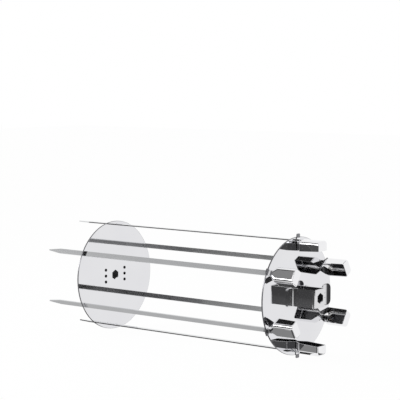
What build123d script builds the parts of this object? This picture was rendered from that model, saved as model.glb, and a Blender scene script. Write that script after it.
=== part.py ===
from build123d import *
import os

os.makedirs("parts", exist_ok=True)

# Frame, in mm: X runs along the spit towards the handles, Z is up.
# The origin is on the spit's centre line, at the front disc's outer face.

# Spit socket
spit_across_flats = 12.7
spit_clearance = 0.25
socket_across_flats = spit_across_flats + 2 * spit_clearance

# Discs
disc_diameter = 160.0
disc_thickness = 2.0
disc_edge_round = 0.4
disc_spacing = 328.0

# Blades
skewer_count = 6
first_skewer_angle = 90.0
blade_width = 7.2
blade_thickness = 1.5
blade_inset = 4.0
blade_reach_past_rear_disc = 71.5
tip_length = 22.0
tip_flat = 1.4
tang_width = 4.0
tang_length = 14.0
shoulder_past_disc = 0.2
slot_clearance = 0.25
slot_corner_round = 0.3

# Handles, pressed from sheet
handle_sheet = 1.0
handle_length = 40.3
handle_width = 21.6
handle_neck_depth = 15.5
handle_end_depth = 13.3
handle_bend_radius = 5.3
hip_run = 10.0
hip_corner_radius = 5.8
neck_corner_radius = 2.0
end_fold_radius = 2.2
flange_to_disc_gap = 0.4
flange_to_tang_gap = 0.1
plate_start_half_flat = 1.9
stop_lug_past_rim = 4.3
stop_lug_corner = 1.5
stop_lug_inner_bend = 1.0

# Hub bracket, a strip bent to a hat section
hub_sheet = 2.0
hub_height = 36.8
hub_width = 25.8
hub_strip = 24.6
hub_foot_reach = 25.0
hub_top_bend = 2.0
hub_foot_bend = 1.5
hub_foot_corner = 3.0

# Rivets, three in each hub foot
rivet_across = 41.2
rivet_pitch = 8.8
rivet_shank = 3.2
rivet_hole_clearance = 0.05
rivet_head = 5.4
rivet_head_depth = 1.1
rivet_clinch = 4.4
rivet_clinch_height = 0.7
rivet_clinch_round = 0.4
rivet_bore = 2.2
rivet_bore_end_wall = 1.6

# Thumb screw
screw_diameter = 6.0
screw_height = 22.0
screw_running_gap = 0.05
screw_wall_gap = 0.3
screw_tip_chamfer = 0.7
screw_tip_back = 0.3
weld_nut_across_flats = 10.0
weld_nut_height = 5.0
weld_nut_chamfer = 0.5
paddle_travel_gap = 3.5
paddle_boss = 9.5
paddle_boss_length = 7.0
paddle_boss_round = 1.0
paddle_bore_depth = 8.0
paddle_bore_end_gap = 0.3
paddle_thickness = 2.6
paddle_width = 29.0
paddle_length = 20.0
paddle_overlap = 2.5
paddle_corner = 7.0
paddle_edge_round = 1.0

# Derived radii and stations
disc_radius = disc_diameter / 2
blade_outer = disc_radius - blade_inset
blade_middle = blade_outer - blade_thickness / 2
plate_outer = blade_outer + handle_sheet
lug_bend = stop_lug_inner_bend + handle_sheet
rear_disc_outer_face = -disc_spacing - disc_thickness
tip_x = -disc_spacing - blade_reach_past_rear_disc
tang_end_x = shoulder_past_disc + tang_length
neck_half = tang_width / 2 + flange_to_tang_gap + handle_sheet
grip_half = handle_width / 2
hip_slope = (grip_half - neck_half) / hip_run
plate_start_x = (plate_start_half_flat + handle_bend_radius - neck_half) / hip_slope
hub_half = hub_width / 2
nut_outer_face = hub_half + weld_nut_height
screw_tip_y = socket_across_flats / 2 + screw_tip_back
paddle_start_y = nut_outer_face + paddle_travel_gap
plate_start_y = paddle_start_y + paddle_boss_length - paddle_overlap
skewer_angles = [first_skewer_angle - 360.0 / skewer_count * i for i in range(skewer_count)]
rivet_places = [(y * rivet_across / 2, z * rivet_pitch) for y in (-1, 1) for z in (1, 0, -1)]
towards_spit = (0, -1, 0)


def socket_hexagon():
    """The spit's hexagon with a corner up, drawn across X."""
    return RegularPolygon(socket_across_flats / 2, 6, major_radius=False, rotation=30)


def fixing_holes():
    """The rivet holes that a disc and a hub foot share."""
    rivet_hole = Circle(rivet_shank / 2 + rivet_hole_clearance)
    return Sketch() + [Pos(y, z) * rivet_hole for y, z in rivet_places]


def wheel_disc():
    """A round sheet with the spit socket, the blade slots and the hub's holes."""
    sheet = extrude(Plane.YZ * Circle(disc_radius), -disc_thickness)
    sheet = fillet(sheet.edges(), disc_edge_round)
    slot = Rectangle(blade_thickness + 2 * slot_clearance, blade_width + 2 * slot_clearance)
    slot = fillet(slot.vertices(), slot_corner_round)
    slots = [Rot(Z=angle) * Pos(blade_middle, 0) * slot for angle in skewer_angles]
    openings = Sketch() + slots + socket_hexagon() + fixing_holes()
    return sheet - extrude(Plane.YZ * openings, -disc_thickness)


def hub_bracket():
    """A hat-section strip: two feet on the disc, two walls and a socketed end wall."""
    inner = hub_half - hub_sheet
    half_outline = [
        (0, inner),
        (0, hub_foot_reach),
        (hub_sheet, hub_foot_reach),
        (hub_sheet, hub_half),
        (hub_height, hub_half),
    ]
    end_wall_inside = (hub_height - hub_sheet, inner)
    mirrored = [(x, -y) for x, y in reversed(half_outline)]
    inside = [(end_wall_inside[0], -end_wall_inside[1]), end_wall_inside]
    section = Polygon(*half_outline, *mirrored, *inside, align=None)
    bends = [
        (0, inner, hub_foot_bend + hub_sheet),
        (hub_sheet, hub_half, hub_foot_bend),
        (hub_height, hub_half, hub_top_bend + hub_sheet),
        (end_wall_inside[0], inner, hub_top_bend),
    ]
    for x, y, radius in bends:
        for side in (-1, 1):
            corner = section.vertices().sort_by_distance((x, side * y, 0))[0]
            section = fillet(corner, radius)
    strip = extrude(Plane.XY * section, hub_strip / 2, both=True)
    foot_corners = strip.edges().filter_by(Axis.X)
    foot_corners = foot_corners.filter_by(lambda e: abs(abs(e.center().Y) - hub_foot_reach) < 0.01)
    strip = fillet(foot_corners, hub_foot_corner)
    strip -= extrude(Plane.YZ * socket_hexagon(), hub_height)
    strip -= extrude(Plane.YZ * fixing_holes(), hub_sheet)
    for y, z in rivet_places:
        strip -= Pos(hub_sheet - rivet_head_depth, y, z) * Rot(Y=90) * rivet_head_cone(rivet_hole_clearance)
    screw_hole = Cylinder(screw_diameter / 2 + screw_wall_gap, 2 * hub_sheet)
    return strip - Pos(screw_height, hub_half - hub_sheet / 2, 0) * Rot(X=90) * screw_hole


def rivet_head_cone(clearance):
    """The sunk rivet head, or its seat in the foot when given a clearance."""
    upright = (Align.CENTER, Align.CENTER, Align.MIN)
    return Cone(rivet_shank / 2 + clearance, rivet_head / 2 + clearance, rivet_head_depth, align=upright)


def hub_rivet():
    """A semi-tubular rivet along X: head sunk flush in the foot, rolled end on the disc."""
    upright = (Align.CENTER, Align.CENTER, Align.MIN)
    shank_length = disc_thickness + hub_sheet
    head = rivet_head_cone(0)
    clinch = Cylinder(rivet_clinch / 2, rivet_clinch_height, align=upright)
    clinch = fillet(clinch.edges().sort_by(Axis.Z)[0], rivet_clinch_round)
    shank = Cylinder(rivet_shank / 2, shank_length, align=upright)
    bore_depth = shank_length + rivet_clinch_height - rivet_bore_end_wall
    bore = Cylinder(rivet_bore / 2, bore_depth, align=upright)
    rivet = shank + Pos(0, 0, shank_length - rivet_head_depth) * head
    rivet += Pos(0, 0, -rivet_clinch_height) * clinch
    rivet -= Pos(0, 0, -rivet_clinch_height) * bore
    return Pos(-disc_thickness, 0, 0) * Rot(Y=90) * rivet


def weld_nut():
    """The nut welded outside the hub wall, on the screw's line."""
    hexagon = RegularPolygon(weld_nut_across_flats / 2, 6, major_radius=False)
    nut = extrude(hexagon, weld_nut_height)
    nut = chamfer(nut.faces().sort_by(Axis.Z)[-1].edges(), weld_nut_chamfer)
    nut -= Cylinder(screw_diameter / 2 + screw_running_gap, 4 * weld_nut_height)
    return Pos(screw_height, hub_half, 0) * Rot(X=-90) * nut


def screw_stud():
    """The clamp screw's round rod, from its tip beside the spit to the paddle."""
    length = paddle_start_y + paddle_bore_depth - paddle_bore_end_gap - screw_tip_y
    rod = Cylinder(screw_diameter / 2, length, align=(Align.CENTER, Align.CENTER, Align.MIN))
    rod = chamfer(rod.edges().sort_by(Axis.Z)[0], screw_tip_chamfer)
    return Pos(screw_height, screw_tip_y, 0) * Rot(X=-90) * rod


def screw_paddle():
    """The flat head that turns the clamp screw, with a round boss over the rod."""
    boss = Cylinder(paddle_boss / 2, paddle_boss_length, align=(Align.CENTER, Align.CENTER, Align.MIN))
    boss = fillet(boss.edges().sort_by(Axis.Z)[0], paddle_boss_round)
    boss = Pos(0, paddle_start_y, 0) * Rot(X=-90) * boss
    outline = Rectangle(paddle_length, paddle_width)
    outline = fillet(outline.vertices(), paddle_corner)
    plate = extrude(Plane.YZ * outline, paddle_thickness / 2, both=True)
    rims = plate.faces().filter_by(Axis.X).edges()
    plate = fillet(rims, paddle_edge_round)
    plate = Pos(0, plate_start_y + paddle_length / 2, 0) * plate
    bore = Cylinder(screw_diameter / 2 + screw_running_gap, 2 * paddle_bore_depth)
    bore = Pos(0, paddle_start_y, 0) * Rot(X=90) * bore
    return Pos(screw_height, 0, 0) * (boss + plate - bore)


def skewer_blade():
    """One flat bar lying out along +Y: a pointed tip, and a narrow tang inside the handle."""
    half = blade_width / 2
    half_outline = [
        (tip_x, tip_flat / 2),
        (tip_x + tip_length, half),
        (shoulder_past_disc, half),
        (shoulder_past_disc, tang_width / 2),
        (tang_end_x, tang_width / 2),
    ]
    mirrored = [(x, -z) for x, z in reversed(half_outline)]
    outline = Polygon(*half_outline, *mirrored, align=None)
    return Pos(0, blade_outer, 0) * extrude(Plane.XZ * outline, blade_thickness, dir=towards_spit)


def handle_block(inset):
    """The handle's outer form, or its hollow when drawn in by a sheet thickness."""
    half_plan = [
        (-hip_run, neck_half),
        (0, neck_half),
        (hip_run, grip_half),
        (handle_length, grip_half),
    ]
    mirrored = [(x, -z) for x, z in reversed(half_plan)]
    plan = offset(Polygon(*half_plan, *mirrored, align=None), -inset, kind=Kind.INTERSECTION)
    plan = fillet(plan.vertices().sort_by(Axis.X)[4:6], hip_corner_radius - inset)
    plan = fillet(plan.vertices().sort_by(Axis.X)[2:4], neck_corner_radius + inset)
    past_neck = Pos(plate_start_x + handle_length, 0) * Rectangle(2 * handle_length, 2 * handle_width)
    neck = extrude(Plane.XZ * (plan - past_neck), 2 * handle_neck_depth, dir=towards_spit)
    grip = extrude(Plane.XZ * (plan & past_neck), 2 * handle_neck_depth, dir=towards_spit)
    side_folds = grip.faces().sort_by(Axis.Y)[-1].edges().sort_by(Axis.X)[1:-1]
    grip = fillet(side_folds, handle_bend_radius - inset)
    end_folds = grip.faces().sort_by(Axis.X)[-1].edges().sort_by(Axis.Y)[1:]
    grip = fillet(end_folds, end_fold_radius - inset)
    block = grip + Pos(0, inset - handle_bend_radius, 0) * neck
    return Pos(0, plate_outer - inset, 0) * block


def skewer_handle():
    """One pressed shell: plate, two flanges, end wall, and the lug that meets the disc."""
    fold_line = plate_outer - handle_bend_radius
    side_view = Polygon(
        (plate_start_x, plate_outer),
        (plate_start_x, fold_line),
        (flange_to_disc_gap, fold_line),
        (flange_to_disc_gap, plate_outer - handle_neck_depth),
        (handle_length, plate_outer - handle_end_depth),
        (handle_length, plate_outer),
        align=None,
    )
    shell = handle_block(0) - handle_block(handle_sheet)
    shell &= extrude(side_view, handle_width, both=True)
    lug_top = disc_radius + stop_lug_past_rim
    lug_section = Polygon(
        (0, blade_outer),
        (plate_start_x, blade_outer),
        (plate_start_x, plate_outer),
        (handle_sheet, plate_outer),
        (handle_sheet, lug_top),
        (0, lug_top),
        align=None,
    )
    heel = lug_section.vertices().sort_by_distance((0, blade_outer, 0))[0]
    lug_section = fillet(heel, lug_bend)
    crook = lug_section.vertices().sort_by_distance((handle_sheet, plate_outer, 0))[0]
    lug_section = fillet(crook, stop_lug_inner_bend)
    lug = extrude(lug_section, blade_width / 2, both=True)
    top_corners = lug.edges().filter_by(Axis.X).group_by(Axis.Y)[-1]
    tang_seat = Pos(tang_end_x / 2, blade_middle, 0) * Box(tang_end_x, blade_thickness, tang_width)
    return shell + fillet(top_corners, stop_lug_corner) - tang_seat


def save(name, shape):
    """Write one node, as one solid."""
    shape.label = name
    export_step(shape, f"parts/{name}.step")


# The two wheels are the same assembly; the rear one is turned end for end.
turned = Pos(rear_disc_outer_face, 0, 0) * Rot(Z=180)
wheels = {"front": Pos(0, 0, 0), "rear": turned}
rivet = hub_rivet()
wheel_pieces = {
    "disc": wheel_disc(),
    "hub": hub_bracket(),
    "weld_nut": weld_nut(),
    "screw_stud": screw_stud(),
    "screw_paddle": screw_paddle(),
}
for number, (y, z) in enumerate(rivet_places, start=1):
    wheel_pieces[f"hub_rivet_{number}"] = Pos(0, y, z) * rivet
for wheel, place in wheels.items():
    for piece, shape in wheel_pieces.items():
        save(f"{wheel}_{piece}", place * shape)

# The six skewers are one blade and one handle, turned round the spit's line.
blade = skewer_blade()
handle = skewer_handle()
for number, angle in enumerate(skewer_angles, start=1):
    save(f"skewer_blade_{number}", Rot(X=angle) * blade)
    save(f"skewer_handle_{number}", Rot(X=angle) * handle)
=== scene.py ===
# %% [markdown]
# # A rotisserie kebab wheel set
# The object is a pair of polished steel discs that ride on a hexagonal spit. Flat skewers run
# through both discs, and each has a folded sheet handle on the outer side of the front disc.
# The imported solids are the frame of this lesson: they are loaded first and never moved. Blender
# adds the finishes, the fine pieces and the studio. All lengths are in metres unless a name says
# millimetres.

# %% Load the frame
import math

import bmesh
import bpy
from mathutils import Matrix, Vector


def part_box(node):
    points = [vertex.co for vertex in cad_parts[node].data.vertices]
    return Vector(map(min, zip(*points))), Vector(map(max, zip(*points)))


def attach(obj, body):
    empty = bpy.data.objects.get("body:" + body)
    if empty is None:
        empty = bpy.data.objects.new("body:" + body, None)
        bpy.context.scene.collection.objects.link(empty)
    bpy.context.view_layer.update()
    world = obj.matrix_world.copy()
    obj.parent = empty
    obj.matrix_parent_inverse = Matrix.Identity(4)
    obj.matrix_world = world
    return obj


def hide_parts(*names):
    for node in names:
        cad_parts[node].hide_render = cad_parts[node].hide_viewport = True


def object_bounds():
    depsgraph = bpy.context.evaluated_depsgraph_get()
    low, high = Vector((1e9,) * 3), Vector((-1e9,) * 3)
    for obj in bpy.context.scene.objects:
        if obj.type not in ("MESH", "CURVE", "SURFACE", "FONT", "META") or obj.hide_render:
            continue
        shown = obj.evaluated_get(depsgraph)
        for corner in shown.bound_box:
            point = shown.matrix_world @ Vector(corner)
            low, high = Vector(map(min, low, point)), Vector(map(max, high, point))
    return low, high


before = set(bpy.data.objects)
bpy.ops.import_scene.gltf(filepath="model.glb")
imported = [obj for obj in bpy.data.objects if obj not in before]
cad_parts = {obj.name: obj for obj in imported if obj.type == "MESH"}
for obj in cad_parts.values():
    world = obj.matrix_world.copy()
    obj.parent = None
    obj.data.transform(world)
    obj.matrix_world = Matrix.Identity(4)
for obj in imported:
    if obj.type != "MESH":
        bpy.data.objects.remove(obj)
cad_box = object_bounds()

# %% [markdown]
# ## Colours, nodes and meshes
# Colours are picked as sRGB hex values, the way a paint chart or a colour picker gives them.
# Shaders work in linear light, so one function does the conversion. A second function adds a
# node with its settings and its links, so that each material below reads as a short recipe. A
# third starts a material, and a fourth turns a finished bmesh into an object.

# %% Colour, node and mesh helpers
def linear(hex_colour):
    """Turn '#rrggbb' into the linear RGBA that a shader socket takes."""
    channels = [int(hex_colour[i:i + 2], 16) / 255 for i in (1, 3, 5)]
    return [c / 12.92 if c <= 0.04045 else ((c + 0.055) / 1.055) ** 2.4 for c in channels] + [1.0]


def add_node(tree, kind, settings=(), links=()):
    """Add a node: settings are attributes or input values, links are input: from_socket."""
    node = tree.nodes.new(kind)
    for key, value in dict(settings).items():
        if isinstance(key, int) or key in node.inputs.keys():
            node.inputs[key].default_value = value
        else:
            setattr(node, key, value)
    for key, socket in dict(links).items():
        tree.links.new(socket, node.inputs[key])
    return node


def new_material(name):
    """Start an empty node material and return it with its tree and its output node."""
    material = bpy.data.materials.new(name)
    material.use_nodes = True
    tree = material.node_tree
    tree.nodes.clear()
    return material, tree, tree.nodes.new("ShaderNodeOutputMaterial")


def mesh_object(name, bm, material):
    """Turn a bmesh into an object at the origin with one material."""
    mesh = bpy.data.meshes.new(name)
    bm.to_mesh(mesh)
    bm.free()
    mesh.materials.append(material)
    made = bpy.data.objects.new(name, mesh)
    bpy.context.scene.collection.objects.link(made)
    return made


print("mid grey #808080 is", round(linear("#808080")[0], 3), "in linear light")

# %% [markdown]
# ## The camera
# The lens position comes from the picture: the rims of both discs, the blade tips and the
# handle ends fix where the camera stood. It looks along the wheel from the handle side, a
# little above the spit, with a long lens, so the far disc is only slightly smaller.

# %% Camera
azimuth, elevation, roll = math.radians(38.47), math.radians(5.06), math.radians(0.05)
aim = Vector((-0.1676, 0.0, 0.1201))
distance = 2.0596
focal_pixels, image_pixels, sensor_mm = 1462.0, 400.0, 36.0
toward_camera = Vector((
    math.sin(azimuth) * math.cos(elevation),
    -math.cos(azimuth) * math.cos(elevation),
    math.sin(elevation),
))
camera_data = bpy.data.cameras.new("studio_camera")
camera_data.sensor_width = sensor_mm
camera_data.lens = sensor_mm * focal_pixels / image_pixels
camera_data.clip_end = 50.0
camera = bpy.data.objects.new("studio_camera", camera_data)
bpy.context.scene.collection.objects.link(camera)
turn = toward_camera.to_track_quat("Z", "Y").to_matrix() @ Matrix.Rotation(roll, 3, "Z")
camera.matrix_world = Matrix.Translation(aim + toward_camera * distance) @ turn.to_4x4()
bpy.context.scene.camera = camera
bpy.context.scene.view_settings.view_transform = "Standard"
print("lens", round(camera_data.lens, 1), "mm at", [round(v, 3) for v in camera.location])

# %% [markdown]
# ## The white room
# Polished steel has almost no colour of its own: it shows the room. A white room gives the bright
# discs. To the eye and to every mirror it is plain white, and to the matt surfaces it is a little
# darker, so that they keep some shade. The Light Path node tells the two kinds of ray apart.

# %% White room
def seen_share(tree):
    """One where a ray comes from the camera, a reflection or a refraction, and zero elsewhere."""
    rays = add_node(tree, "ShaderNodeLightPath").outputs
    larger = {"operation": "MAXIMUM"}
    direct = {0: rays["Is Camera Ray"], 1: rays["Is Glossy Ray"]}
    first = add_node(tree, "ShaderNodeMath", larger, direct).outputs[0]
    clear = {0: first, 1: rays["Is Transmission Ray"]}
    return add_node(tree, "ShaderNodeMath", larger, clear).outputs[0]


fill_level, seen_level = 0.75, 1.0
world = bpy.data.worlds.new("white_room")
world.use_nodes = True
bpy.context.scene.world = world
room = world.node_tree
room.nodes.clear()
levels = {"To Min": fill_level, "To Max": seen_level}
level = add_node(room, "ShaderNodeMapRange", levels, {"Value": seen_share(room)}).outputs["Result"]
white = {"Color": linear("#ffffff")}
backdrop = add_node(room, "ShaderNodeBackground", white, {"Strength": level}).outputs[0]
add_node(room, "ShaderNodeOutputWorld", (), {"Surface": backdrop})
print("room", seen_level, "to the eye and", fill_level, "to matt surfaces")

# %% [markdown]
# ## The floor
# The set stands on white paper. A plain matt sheet would render grey where the light falls off, so
# most of what the eye sees of it is a glow of white, and a small share is the matt paper, which
# takes the shadow.

# %% Floor
floor_height, floor_half_width = cad_box[0][2], 6.0
glow_share = 0.97
# white paper: flat and even, with no gloss at all
paper, tree, output = new_material("white_studio_paper")
matt = add_node(tree, "ShaderNodeBsdfDiffuse", {"Color": linear("#f4f4f4")}).outputs[0]
glow = add_node(tree, "ShaderNodeEmission", {**white, "Strength": 1.0}).outputs[0]
most = {"operation": "MULTIPLY", 1: glow_share}
share = add_node(tree, "ShaderNodeMath", most, {0: seen_share(tree)}).outputs[0]
blend = add_node(tree, "ShaderNodeMixShader", (), {0: share, 1: matt, 2: glow}).outputs[0]
tree.links.new(blend, output.inputs["Surface"])
sheet = bmesh.new()
bmesh.ops.create_grid(sheet, x_segments=1, y_segments=1, size=floor_half_width)
bmesh.ops.translate(sheet, vec=(0, 0, floor_height), verts=sheet.verts)
floor = mesh_object("studio_floor", sheet, paper)
print("floor at", round(floor_height * 1000, 1), "mm")

# %% [markdown]
# ## One reflection card
# A mirror surface is lit by deciding what it sees. Black and grey cards, which a photographer calls
# flags, give the dark bands that make the edges read. A painted sky could do the same, but real
# cards keep the reflections in step when a piece moves. A card is one face with an inset border,
# over which it fades to white, so that its edge isn't a hard cut. It is hidden from the camera and
# casts no shadow.

# %% Reflection card
narrow_border, soft_border, wide_border, hub_border = 0.003, 0.008, 0.012, 0.05


def reflection_card(name, corners, greys, border=narrow_border, one_sided=False):
    """A flat card seen only in reflections, shaded along X from one grey to another."""
    material, tree, output = new_material(name)
    place = add_node(tree, "ShaderNodeTexCoord").outputs["Object"]
    along = add_node(tree, "ShaderNodeSeparateXYZ", (), {"Vector": place}).outputs["X"]
    ends = sorted(corner[0] for corner in corners)
    shading = {"From Min": ends[0], "From Max": ends[-1], "To Min": greys[0], "To Max": greys[1]}
    grey = add_node(tree, "ShaderNodeMapRange", shading, {"Value": along}).outputs["Result"]
    fade = add_node(tree, "ShaderNodeAttribute", {"attribute_name": "card_share"}).outputs["Fac"]
    strength = add_node(tree, "ShaderNodeMix", {2: 1.0}, {0: fade, 3: grey}).outputs[0]
    surface = add_node(tree, "ShaderNodeEmission", (), {"Strength": strength}).outputs[0]
    if one_sided:
        clear = add_node(tree, "ShaderNodeBsdfTransparent").outputs[0]
        behind = add_node(tree, "ShaderNodeNewGeometry").outputs["Backfacing"]
        sides = {0: behind, 1: surface, 2: clear}
        surface = add_node(tree, "ShaderNodeMixShader", (), sides).outputs[0]
    tree.links.new(surface, output.inputs["Surface"])
    bm = bmesh.new()
    middle = bm.faces.new([bm.verts.new(corner) for corner in corners])
    card_share = bm.verts.layers.float.new("card_share")
    bmesh.ops.inset_region(bm, faces=[middle], thickness=border, use_boundary=True)
    for vert in middle.verts:
        vert[card_share] = 1.0
    card = mesh_object(name, bm, material)
    card.visible_camera = card.visible_diffuse = card.visible_shadow = False


print("borders of", [round(b * 1000) for b in (narrow_border, soft_border, wide_border)], "mm")

# %% [markdown]
# ## Cards on the floor and overhead
# Each flat of a blade, a handle or the hub sends the camera's line of sight to one small patch of
# the floor or of the air overhead, and a card lies there with the grey which that flat should
# show. The patches follow from the flat's slope by the law of the mirror, so each card serves one
# kind of flat: a blade's face, its edge, a grip or the side of the hub.

# %% Level cards
def level_card(name, x_span, y_span, height, greys, border):
    """A horizontal reflection card over the given spans."""
    (x0, x1), (y0, y1) = x_span, y_span
    corners = [(x0, y0, height), (x1, y0, height), (x1, y1, height), (x0, y1, height)]
    reflection_card(name, corners, greys, border)


card_lift, overhead = 0.0004, 0.30
# each row: name, span along X, span along Y, greys at its two ends as shares of white, border
floor_cards = (
    ("floor_flag_front", (0.055, 0.16), (0.005, 0.043), (0.08, 0.10), soft_border),
    ("floor_flag_notch", (0.0, 0.022), (-0.026, -0.004), (0.04, 0.04), narrow_border),
    ("front_floor_card", (-0.65, -0.042), (-0.105, -0.068), (0.64, 0.60), narrow_border),
    ("front_floor_edge", (-0.60, -0.042), (-0.066, -0.020), (0.08, 0.08), narrow_border),
    ("front_floor_card_far", (-0.65, -0.08), (-0.40, -0.105), (0.62, 0.58), narrow_border),
    ("front_floor_grip", (-0.042, 0.012), (-0.105, -0.050), (0.25, 0.25), narrow_border),
    ("front_floor_grip_low", (-0.08, -0.015), (-0.15, -0.105), (0.23, 0.27), narrow_border),
    ("front_floor_dark", (-0.006, 0.12), (-0.145, -0.105), (0.05, 0.10), narrow_border),
    ("front_floor_dark_near", (0.012, 0.12), (-0.105, -0.050), (0.08, 0.10), narrow_border),
    ("front_floor_hub", (0.18, 0.48), (-0.64, -0.34), (0.14, 0.07), hub_border),
)
overhead_cards = (
    ("overhead_flag_left", (-0.60, -0.41), (-0.258, -0.12), (0.22, 0.40), wide_border),
    ("overhead_flag_mid", (-0.13, 0.11), (-0.258, -0.12), (0.26, 0.06), wide_border),
    ("overhead_flag_mid_right", (0.11, 0.185), (-0.258, -0.20), (0.07, 0.14), narrow_border),
    ("overhead_flag_slot", (-0.08, 0.06), (-0.31, -0.262), (0.02, 0.02), narrow_border),
    ("overhead_flag_right", (0.185, 0.43), (-0.262, -0.205), (0.02, 0.02), narrow_border),
    ("overhead_flag_bend", (-0.32, -0.14), (-0.258, -0.12), (0.05, 0.05), wide_border),
    ("overhead_flag_back_1", (0.185, 0.235), (0.03, 0.06), (0.02, 0.02), narrow_border),
    ("overhead_flag_back_2", (0.115, 0.15), (-0.015, 0.02), (0.02, 0.02), narrow_border),
    ("overhead_flag_back_3", (0.18, 0.235), (0.135, 0.175), (0.02, 0.02), narrow_border),
    ("overhead_flag_back_4", (0.085, 0.125), (0.105, 0.135), (0.02, 0.02), narrow_border),
    ("overhead_edge_card", (-0.62, -0.26), (0.13, 0.19), (0.12, 0.25), narrow_border),
    ("front_overhead_card", (-0.90, -0.245), (-0.50, -0.262), (0.68, 0.56), wide_border),
    ("front_overhead_grip", (-0.245, -0.17), (-0.40, -0.262), (0.25, 0.25), narrow_border),
)
for height, cards in ((floor_height + card_lift, floor_cards), (overhead, overhead_cards)):
    for name, x_span, y_span, greys, border in cards:
        level_card(name, x_span, y_span, height, greys, border)
print(len(floor_cards), "cards on the floor,", len(overhead_cards), "overhead")

# %% [markdown]
# ## Upright cards
# The hub's side and the outer walls of the handles look straight forward, so dark walls stand in
# front of the set. One is taller, for the bend at the top of the upper handle. The upper far blade
# shows its inner face, which looks down behind the spit line, so two low flags stand there. They
# are seen from the far side only, or they would also show in the discs.

# %% Upright cards
def upright_card(name, start, end, top, greys, border=narrow_border, one_sided=False):
    """A reflection card that stands on the floor between two points of it."""
    corners = [(*start, floor_height), (*end, floor_height), (*end, top), (*start, top)]
    reflection_card(name, corners, greys, border, one_sided)


low_wall_top, tall_wall_top, wall_line = 0.035, 0.18, -0.45
# each row: where the wall starts and ends on the floor, its top and its grey
dark_walls = (
    ((-0.85, wall_line), (-0.36, wall_line), low_wall_top, 0.14),
    ((-0.36, wall_line), (-0.18, wall_line), tall_wall_top, 0.08),
    ((-0.18, wall_line), (0.47, wall_line), low_wall_top, 0.08),
    ((0.47, wall_line), (0.64, -0.08), low_wall_top, 0.05),
)
for number, (start, end, top, grey) in enumerate(dark_walls, start=1):
    upright_card(f"dark_wall_{number}", start, end, top, (grey, grey), soft_border)
far_line, far_flag_height = 0.023, 0.03
# each row: left end, right end and the greys there
far_flags = ((-0.40, -0.19, (0.08, 0.27)), (-0.19, -0.07, (0.21, 0.27)))
for number, (left, right, greys) in enumerate(far_flags, start=1):
    start, end, top = (right, far_line), (left, far_line), floor_height + far_flag_height
    upright_card(f"far_flag_{number}", start, end, top, greys, one_sided=True)
print(len(dark_walls), "dark walls and", len(far_flags), "far flags")

# %% [markdown]
# ## The soft box
# One broad lamp to the left of the camera gives the matt and dark pieces a side that is lighter
# than the other, and lays a faint shadow on the paper. A small lamp would put hard white spots on
# the steel, so it is as wide as a window.

# %% Soft box
lamp_place, lamp_aim = Vector((-1.05, -1.15, 0.55)), Vector((-0.1, 0, 0))
lamp_data = bpy.data.lights.new("soft_box", "AREA")
lamp_data.shape = "RECTANGLE"
lamp_data.size, lamp_data.size_y = 1.4, 0.45
lamp_data.energy = 14.0
lamp = bpy.data.objects.new("soft_box", lamp_data)
bpy.context.scene.collection.objects.link(lamp)
lamp.location = lamp_place
lamp.rotation_euler = (lamp_place - lamp_aim).to_track_quat("Z", "Y").to_euler()
print("soft box", lamp_data.energy, "W")

# %% [markdown]
# ## Where a finish changes
# One pressed or turned piece often has two finishes, such as a polished outside and a dull inside,
# and some pieces also get painted shade and painted highlights in places.
# Painting or unwrapping could mark the two, but the places are simple enough to work out. A zone is
# found by its distance from a point, with the directions that don't count weighted to zero: a slab,
# a tube or a ball. Inside a folded channel the place alone can't tell the two sides of the thin
# sheet apart, so there the direction in which the surface faces is used as well.

# %% Finish masks
def zone(tree, place, centre, weights, outside, inside):
    """One where the weighted distance from a centre has reached inside, zero before outside."""
    from_centre = {"operation": "SUBTRACT", 1: centre}
    offset = add_node(tree, "ShaderNodeVectorMath", from_centre, {0: place}).outputs[0]
    weigh = {"operation": "MULTIPLY", 1: weights}
    weighted = add_node(tree, "ShaderNodeVectorMath", weigh, {0: offset}).outputs[0]
    length = {"operation": "LENGTH"}
    reach = add_node(tree, "ShaderNodeVectorMath", length, {0: weighted}).outputs["Value"]
    limits = {"From Min": outside, "From Max": inside}
    return add_node(tree, "ShaderNodeMapRange", limits, {"Value": reach}).outputs["Result"]


facing_in_from, facing_in_full = -0.0008, -0.0015


def channel_face(tree, place, centre, lean, outside, inside):
    """One on the inner faces of a channel along X that lean to the spit by about a given share."""
    from_centre = {"operation": "SUBTRACT", 1: centre}
    offset = add_node(tree, "ShaderNodeVectorMath", from_centre, {0: place}).outputs[0]
    flatten = {"operation": "MULTIPLY", 1: (0, 1, 1)}
    across = add_node(tree, "ShaderNodeVectorMath", flatten, {0: offset}).outputs[0]
    facing = add_node(tree, "ShaderNodeNewGeometry").outputs["Normal"]
    dot = {"operation": "DOT_PRODUCT"}
    away = add_node(tree, "ShaderNodeVectorMath", dot, {0: across, 1: facing}).outputs["Value"]
    inward = {"From Min": facing_in_from, "From Max": facing_in_full}
    inner = add_node(tree, "ShaderNodeMapRange", inward, {"Value": away}).outputs["Result"]
    to_spit = {**dot, 1: -Vector(centre).normalized()}
    leaning = add_node(tree, "ShaderNodeVectorMath", to_spit, {0: facing}).outputs["Value"]
    from_lean = {"operation": "SUBTRACT", 1: lean}
    off = add_node(tree, "ShaderNodeMath", from_lean, {0: leaning}).outputs[0]
    size = add_node(tree, "ShaderNodeMath", {"operation": "ABSOLUTE"}, {0: off}).outputs[0]
    limits = {"From Min": outside, "From Max": inside}
    near = add_node(tree, "ShaderNodeMapRange", limits, {"Value": size}).outputs["Result"]
    both = {"operation": "MULTIPLY"}
    return add_node(tree, "ShaderNodeMath", both, {0: inner, 1: near}).outputs[0]


print("inner faces lie", -facing_in_full * 1000, "mm or more off the channel's middle line")
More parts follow.
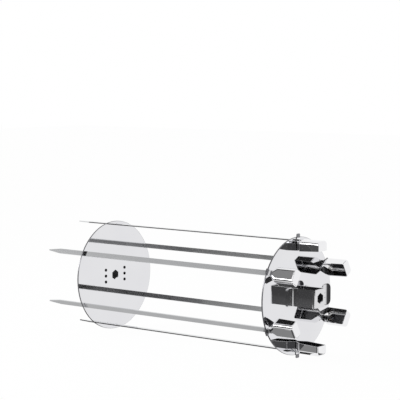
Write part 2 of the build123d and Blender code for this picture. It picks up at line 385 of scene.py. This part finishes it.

# %% [markdown]
# ## One recipe for every metal
# All the pieces are metal, so they differ in how their surfaces were made: rolled, polished,
# plated, blackened or melted. Each finish has two close tints in soft clouds, a gloss that a
# fine grain breaks up, and the same grain as a relief of a few thousandths of a millimetre or less.
# An area lays a second tint and gloss over the first where its masks overlap; some areas are painted
# shade and some are painted highlights.

# %% Metal recipe
gloss_spread = 0.3
cloud_detail, grain_detail = 3.0, 2.0
ring_wobble = 1.5


def metal(name, tints, cloud_mm, roughness, grain, relief_mm, stretch=(1, 1, 1), areas=()):
    """A metal finish: clouded tints, a grain in gloss and relief, and areas of another tint and
    gloss, some of them painted shade and painted highlights.
    """
    material, tree, output = new_material(name)
    place = add_node(tree, "ShaderNodeTexCoord").outputs["Object"]
    drawn = add_node(tree, "ShaderNodeMapping", {"Scale": stretch}, {"Vector": place}).outputs[0]
    soft = {"Scale": 1000 / cloud_mm, "Detail": cloud_detail}
    cloud = add_node(tree, "ShaderNodeTexNoise", soft, {"Vector": place}).outputs["Fac"]
    colours = {"data_type": "RGBA", 6: linear(tints[0]), 7: linear(tints[1])}
    colour = add_node(tree, "ShaderNodeMix", colours, {0: cloud}).outputs[2]
    lines = add_node(tree, *grain, {"Vector": drawn}).outputs["Fac"]
    least, most = roughness * (1 - gloss_spread), roughness * (1 + gloss_spread)
    gloss = {"To Min": least, "To Max": most}
    rough = add_node(tree, "ShaderNodeMapRange", gloss, {"Value": lines}).outputs["Result"]
    for masks, area_tint, area_roughness in areas:
        shares = [mask(tree, place, *limits) for mask, *limits in masks]
        share = shares[0]
        for other in shares[1:]:
            both = {"operation": "MULTIPLY"}
            share = add_node(tree, "ShaderNodeMath", both, {0: share, 1: other}).outputs[0]
        tinted = {"data_type": "RGBA", 7: linear(area_tint)}
        colour = add_node(tree, "ShaderNodeMix", tinted, {0: share, 6: colour}).outputs[2]
        dulled = {3: area_roughness}
        rough = add_node(tree, "ShaderNodeMix", dulled, {0: share, 2: rough}).outputs[0]
    relief = {"Strength": 1.0, "Distance": relief_mm / 1000}
    bump = add_node(tree, "ShaderNodeBump", relief, {"Height": lines}).outputs["Normal"]
    surface = {"Base Color": colour, "Roughness": rough, "Normal": bump}
    shader = add_node(tree, "ShaderNodeBsdfPrincipled", {"Metallic": 1.0}, surface)
    tree.links.new(shader.outputs[0], output.inputs["Surface"])
    return material


def noise_grain(size_mm):
    """A grain of soft specks of the given size, as the settings of its node."""
    return "ShaderNodeTexNoise", {"Scale": 1000 / size_mm, "Detail": grain_detail}


def ring_grain(spacing_mm):
    """Rings about the spit line at the given spacing: one turn of the wave is pi / 10 long."""
    rings = {"wave_type": "RINGS", "rings_direction": "X"}
    waver = {"Distortion": ring_wobble, "Detail": grain_detail}
    return "ShaderNodeTexWave", {**rings, **waver, "Scale": math.pi / 10 / (spacing_mm / 1000)}


print("a ring grain of 1.2 mm has scale", round(ring_grain(1.2)[1]["Scale"]))

# %% [markdown]
# ## Discs, hubs and blades
# The discs are mirror polished on a turning wheel, which leaves faint rings, and their sheared rims
# stay grey. The hub is polished outside, and inside it is duller and painted dark as painted shade,
# the shade inside its closed box. The blades are cut from bright rolled bar, whose lines run along
# the length. Real polishing lines are a few hundredths of a millimetre apart, too fine to show, so
# the rings and lines are drawn a millimetre or two apart.

# %% Disc, hub and blade finishes
middle_x = -0.165
# each zone: centre, weights of X, Y and Z, then the distances at which it starts and is full
disc_rim = (zone, (0, 0, 0), (0, 1, 1), 0.0794, 0.0797)
# the hub's inside: duller, and painted dark as the shade inside the closed box
painted_shade_hub_height = (zone, (middle_x, 0, 0), (1, 0, 0), 0.2002, 0.1999)
painted_shade_hub_width = (zone, (0, 0, 0), (0, 1, 0), 0.01100, 0.01092)
finishes = {
    # a clear mirror with the faintest rings in its highlights, and a grey rim
    "disc": metal(
        "mirror_polished_stainless_sheet", ("#e6e6e8", "#dfdfe2"), cloud_mm=40.0, roughness=0.03,
        grain=ring_grain(1.2), relief_mm=0.00004, areas=[([disc_rim], "#77777a", 0.30)],
    ),
    # a bright strip, slightly soft in its reflections, and inside a duller finish painted dark as
    # shade
    "hub": metal(
        "polished_stainless_strip", ("#dededf", "#d6d6d8"), cloud_mm=14.0, roughness=0.05,
        grain=noise_grain(1.5), relief_mm=0.0002,
        areas=[([painted_shade_hub_height, painted_shade_hub_width], "#4c4c4e", 0.40)],
    ),
    # long soft lines that smear a reflection across the bar
    "blade": metal(
        "bright_rolled_stainless_bar", ("#d8d9da", "#cfd0d2"), cloud_mm=25.0, roughness=0.09,
        grain=noise_grain(2.0), relief_mm=0.0006, stretch=(0.05, 1, 1),
    ),
}
print({name: finish.name for name, finish in finishes.items()})

# %% [markdown]
# ## Screws, nuts, rivets and welds
# The nuts and the studs are zinc plated. The paddles are blackened in hot salts, and at the root
# the black is lightened, partly as wear where fingers pinch it and partly as a painted highlight.
# The rivets are bare on the head, and their pressed-over ends between the discs are painted dark as
# the shade in their hollow bores. A weld keeps the straw and blue colours of its heat. All of them
# are small, so their clouds and specks are drawn a few millimetres wide at most.

# %% Screw, rivet and weld finishes
# the paddle's root: lighter as wear and as a painted highlight
paddle_root_wear_and_highlight = (zone, (0, 0, 0), (0, 1, 0), 0.0368, 0.0330)
# the pressed-over rivet ends between the discs: painted dark as the shade in their bores
painted_shade_rivet_ends = (zone, (middle_x, 0, 0), (1, 0, 0), 0.1633, 0.1631)
finishes |= {
    # a bluish, even satin
    "zinc": metal(
        "bright_zinc_plated_steel", ("#c9ccce", "#aab0b6"), cloud_mm=4.0, roughness=0.22,
        grain=noise_grain(0.8), relief_mm=0.002,
    ),
    # a deep black with a soft sheen, bright at the root as wear and as a painted highlight
    "black": metal(
        "black_oxidised_steel_screw", ("#1d1d1f", "#2c2c2f"), cloud_mm=5.0, roughness=0.30,
        grain=noise_grain(0.7), relief_mm=0.004, areas=[([paddle_root_wear_and_highlight], "#d4d4d6", 0.15)],
    ),
    # a bare head and a pressed end painted dark as the shade in its bore
    "rivet": metal(
        "clinched_steel_rivet", ("#d2d2d4", "#c4c4c7"), cloud_mm=3.0, roughness=0.12,
        grain=noise_grain(0.6), relief_mm=0.001, areas=[([painted_shade_rivet_ends], "#161617", 0.45)],
    ),
    # straw and blue heat colours over frozen ripples
    "weld": metal(
        "heat_tinted_stainless_weld", ("#c7a873", "#6d7390"), cloud_mm=1.6, roughness=0.30,
        grain=noise_grain(0.5), relief_mm=0.006,
    ),
}
print(len(finishes), "finishes so far")

# %% [markdown]
# ## The handles
# A handle is polished after it is folded, so its outside is the brightest metal of the set. Inside
# the channel the flats are made duller and painted dark as painted shade, and the bends are painted
# with bright lines as painted highlights. The sheared end of the stop lug stays grey, and the edge
# that meets the disc is painted nearly black as the shade where handle and disc meet. The channels
# face six ways, so each handle gets its own copy of the finish, turned to its own channel.

# %% Handle finishes
skewer_angles = {number: math.radians(90 - 60 * (number - 1)) for number in range(1, 7)}
past_disc_rim = (zone, (0, 0, 0), (0, 1, 1), 0.0785, 0.0792)
# the edge of each handle that meets the disc is painted dark as the shade where the two meet
painted_shade_at_disc = (zone, (0, 0, 0), (1, 0, 0), 0.0008, 0.0006)
channel_middle, bend_lean = 0.069, 0.56
# how far off the bends' lean a face is, where the flats begin and are full, then for the bends
off_bend_to_flat, off_bend_to_bend = (0.36, 0.42), (0.42, 0.38)
for number, angle in skewer_angles.items():
    channel_line = (0, channel_middle * math.cos(angle), channel_middle * math.sin(angle))
    # inside the channel the flats are painted dark as shade and the bends carry painted highlights
    painted_shade_channel_flats = (channel_face, channel_line, bend_lean, *off_bend_to_flat)
    painted_highlight_channel_bends = (channel_face, channel_line, bend_lean, *off_bend_to_bend)
    # sharp bands of light along each fold outside, and inside painted highlights on the bends
    # between flats painted dark as shade
    finishes[f"handle_{number}"] = metal(
        f"polished_folded_stainless_{number}", ("#f2f2f3", "#eaeaec"), cloud_mm=15.0,
        roughness=0.035, grain=noise_grain(1.2), relief_mm=0.0001, stretch=(0.1, 1, 1), areas=[
            ([past_disc_rim], "#7d7d80", 0.30),
            ([painted_shade_at_disc], "#2c2c2e", 0.40),
            ([painted_shade_channel_flats], "#5c5c5e", 0.22),
            ([painted_highlight_channel_bends], "#fbfbfb", 0.30),
        ],
    )
print("handle finishes:", [name for name in finishes if name.startswith("handle")])

# %% [markdown]
# ## Giving each solid its finish
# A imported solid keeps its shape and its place, and only its material slot is filled again. The name
# of each one says which piece it is, so a short list of words is enough to choose.

# %% Finishes of the solids
def finish_of(node):
    """Choose a solid's finish by the piece it is."""
    if "handle" in node:
        return finishes["handle_" + node[-1]]
    for word in ("disc", "blade", "rivet"):
        if word in node:
            return finishes[word]
    if node.endswith("_hub"):
        return finishes["hub"]
    return finishes["black"] if "paddle" in node else finishes["zinc"]


for name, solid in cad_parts.items():
    solid.data.materials.clear()
    solid.data.materials.append(finish_of(name))
print("finished solids:", len(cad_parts))

# %% [markdown]
# ## A helper for new pieces
# A piece made here is parented to the body it moves with and gets its finish, and where it stands
# in for an imported solid, that solid is hidden. One function does all of that, so that each piece
# below is only its shape.

# %% Piece helper
def add_piece(name, bm, body, finish, stands_for=None):
    """Turn a bmesh into a smooth-shaded object that rides on a body."""
    bmesh.ops.recalc_face_normals(bm, faces=bm.faces)
    for face in bm.faces:
        face.smooth = True
    piece = mesh_object(name, bm, finishes[finish])
    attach(piece, body)
    if stands_for:
        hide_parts(stands_for)
    return piece


# the front wheel's screw stands on the far side, along +Y, and the rear wheel's on the near side
screw_sides = {"front": 1, "rear": -1}

# %% [markdown]
# ## Threads on the clamp screws
# The screw that pinches the spit is a rod with a metric thread: a ridge that climbs one pitch
# for each turn. A bump texture would give the shading but a smooth outline, so the ridge is
# modelled. A zigzag profile, several pitches long, is spun once round the axis and lifted by
# one pitch on the way, so that the end of each ridge meets the start of the next. Merging the
# doubles then closes the seam.

# %% Threaded studs
thread_pitch, thread_crest, thread_root = 0.001, 0.003, 0.00242
thread_steps = 40
spare_turns = 2
tip_chamfer = 0.0007
# one ridge: share of the pitch and radius at each corner of the zigzag
one_ridge = (
    (0.0, thread_root), (0.25, thread_root), (0.5625, thread_crest), (0.6875, thread_crest),
)


def threaded_rod(length):
    """A threaded rod along +Z, with its chamfered tip at the origin."""
    bm = bmesh.new()
    turns = range(-spare_turns, int(length / thread_pitch) + spare_turns)
    corners = [(r, 0, (turn + share) * thread_pitch) for turn in turns for share, r in one_ridge]
    profile = [bm.verts.new(corner) for corner in corners]
    edges = [bm.edges.new(pair) for pair in zip(profile, profile[1:])]
    bmesh.ops.spin(
        bm, geom=profile + edges, cent=(0, 0, 0), axis=(0, 0, 1),
        dvec=(0, 0, thread_pitch / thread_steps), angle=math.tau, steps=thread_steps,
    )
    bmesh.ops.remove_doubles(bm, verts=bm.verts, dist=thread_pitch / 100)
    for height, outward in ((0.0, -1), (length, 1)):
        bmesh.ops.bisect_plane(
            bm, geom=bm.verts[:] + bm.edges[:] + bm.faces[:], plane_co=(0, 0, height),
            plane_no=(0, 0, outward), clear_outer=True,
        )
    bmesh.ops.holes_fill(bm, edges=[edge for edge in bm.edges if edge.is_boundary])
    for vert in bm.verts:
        limit = thread_crest - tip_chamfer + vert.co.z
        radius = math.hypot(vert.co.x, vert.co.y)
        if radius > limit:
            vert.co.x, vert.co.y = vert.co.x * limit / radius, vert.co.y * limit / radius
    return bm


for wheel, side in screw_sides.items():
    low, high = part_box(f"{wheel}_screw_stud")
    tip_y = low[1] if side > 0 else high[1]
    tip = Vector(((low[0] + high[0]) / 2, tip_y, (low[2] + high[2]) / 2))
    rod = threaded_rod(high[1] - low[1])
    along = Vector((0, side, 0)).to_track_quat("Z", "Y").to_matrix().to_4x4()
    bmesh.ops.transform(rod, matrix=Matrix.Translation(tip) @ along, verts=rod.verts)
    stud = add_piece(
        f"{wheel}_threaded_stud", rod, f"{wheel}_clamp_stud", "zinc",
        f"{wheel}_screw_stud",
    )
    print(stud.name, len(stud.data.polygons), "faces")

# %% [markdown]
# ## One weld bead
# A bead is a low, rippled ridge where the metal froze in steps. It could be sculpted by hand, but a
# rippled spindle spun round its own length and half sunk in the corner gives the same look with a
# few numbers: the bead's length, its radius and the length of one ripple.

# %% Weld bead
bead_points, bead_sides = 33, 14
bead_ripple, ripple_depth = 0.0008, 0.10
end_bluntness = 0.4
same_point = 1e-7


def weld_bead(bm, start, end, radius):
    """Add a rippled bead between two points to a bmesh."""
    length = (end - start).length
    bead = bmesh.new()
    profile = []
    for point in range(bead_points):
        share = point / (bead_points - 1)
        inner = 0 < point < bead_points - 1
        swell = math.sin(math.pi * share) ** end_bluntness if inner else 0.0
        wave = 1 + ripple_depth * math.cos(math.tau * share * length / bead_ripple)
        profile.append(bead.verts.new((radius * swell * wave, 0, share * length)))
    edges = [bead.edges.new(pair) for pair in zip(profile, profile[1:])]
    bmesh.ops.spin(
        bead, geom=profile + edges, cent=(0, 0, 0), axis=(0, 0, 1), angle=math.tau,
        steps=bead_sides, use_merge=True,
    )
    bmesh.ops.remove_doubles(bead, verts=bead.verts, dist=same_point)
    along = (end - start).to_track_quat("Z", "Y").to_matrix().to_4x4()
    bmesh.ops.transform(bead, matrix=Matrix.Translation(start) @ along, verts=bead.verts)
    mesh = bpy.data.meshes.new("bead")
    bead.to_mesh(mesh)
    bead.free()
    bm.from_mesh(mesh)
    bpy.data.meshes.remove(mesh)


print("a bead has", bead_points - 1, "steps of", bead_sides, "faces")

# %% [markdown]
# ## Welds at the nuts
# The nut that carries the screw is welded to its hub wall with a short bead along its upper and its
# lower edge. The beads sit half in the wall, so no gap shows from any side.

# %% Nut welds
nut_bead_length, nut_bead_radius = 0.0048, 0.0010
for wheel, side in screw_sides.items():
    low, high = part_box(f"{wheel}_weld_nut")
    middle, wall = (low[0] + high[0]) / 2, low[1] if side > 0 else high[1]
    bm = bmesh.new()
    for height in (low[2], high[2]):
        left, right = middle - nut_bead_length / 2, middle + nut_bead_length / 2
        weld_bead(bm, Vector((left, wall, height)), Vector((right, wall, height)), nut_bead_radius)
    bead = add_piece(
        f"{wheel}_nut_weld", bm, f"{wheel}_wheel", "weld",
    )
    print(bead.name, len(bead.data.polygons), "faces")

# %% [markdown]
# ## Welds at the tangs
# Each blade ends in a narrow tang under the plate of its handle, with a bead along both sides. The
# pair is made once for a handle that points along Y, and turned about the spit line to each place.

# %% Tang welds
tang_half_width, tang_seat, tang_bead_radius = 0.0020, 0.0758, 0.0008
tang_bead_start, tang_bead_end = 0.0085, 0.0130
for number, angle in skewer_angles.items():
    bm = bmesh.new()
    for edge in (-tang_half_width, tang_half_width):
        start = Vector((tang_bead_start, tang_seat, edge))
        end = Vector((tang_bead_end, tang_seat, edge))
        weld_bead(bm, start, end, tang_bead_radius)
    bmesh.ops.transform(bm, matrix=Matrix.Rotation(angle, 4, "X"), verts=bm.verts)
    add_piece(
        f"skewer_{number}_tang_weld", bm, f"skewer_{number}", "weld",
    )
print("tang welds on", len(skewer_angles), "skewers")
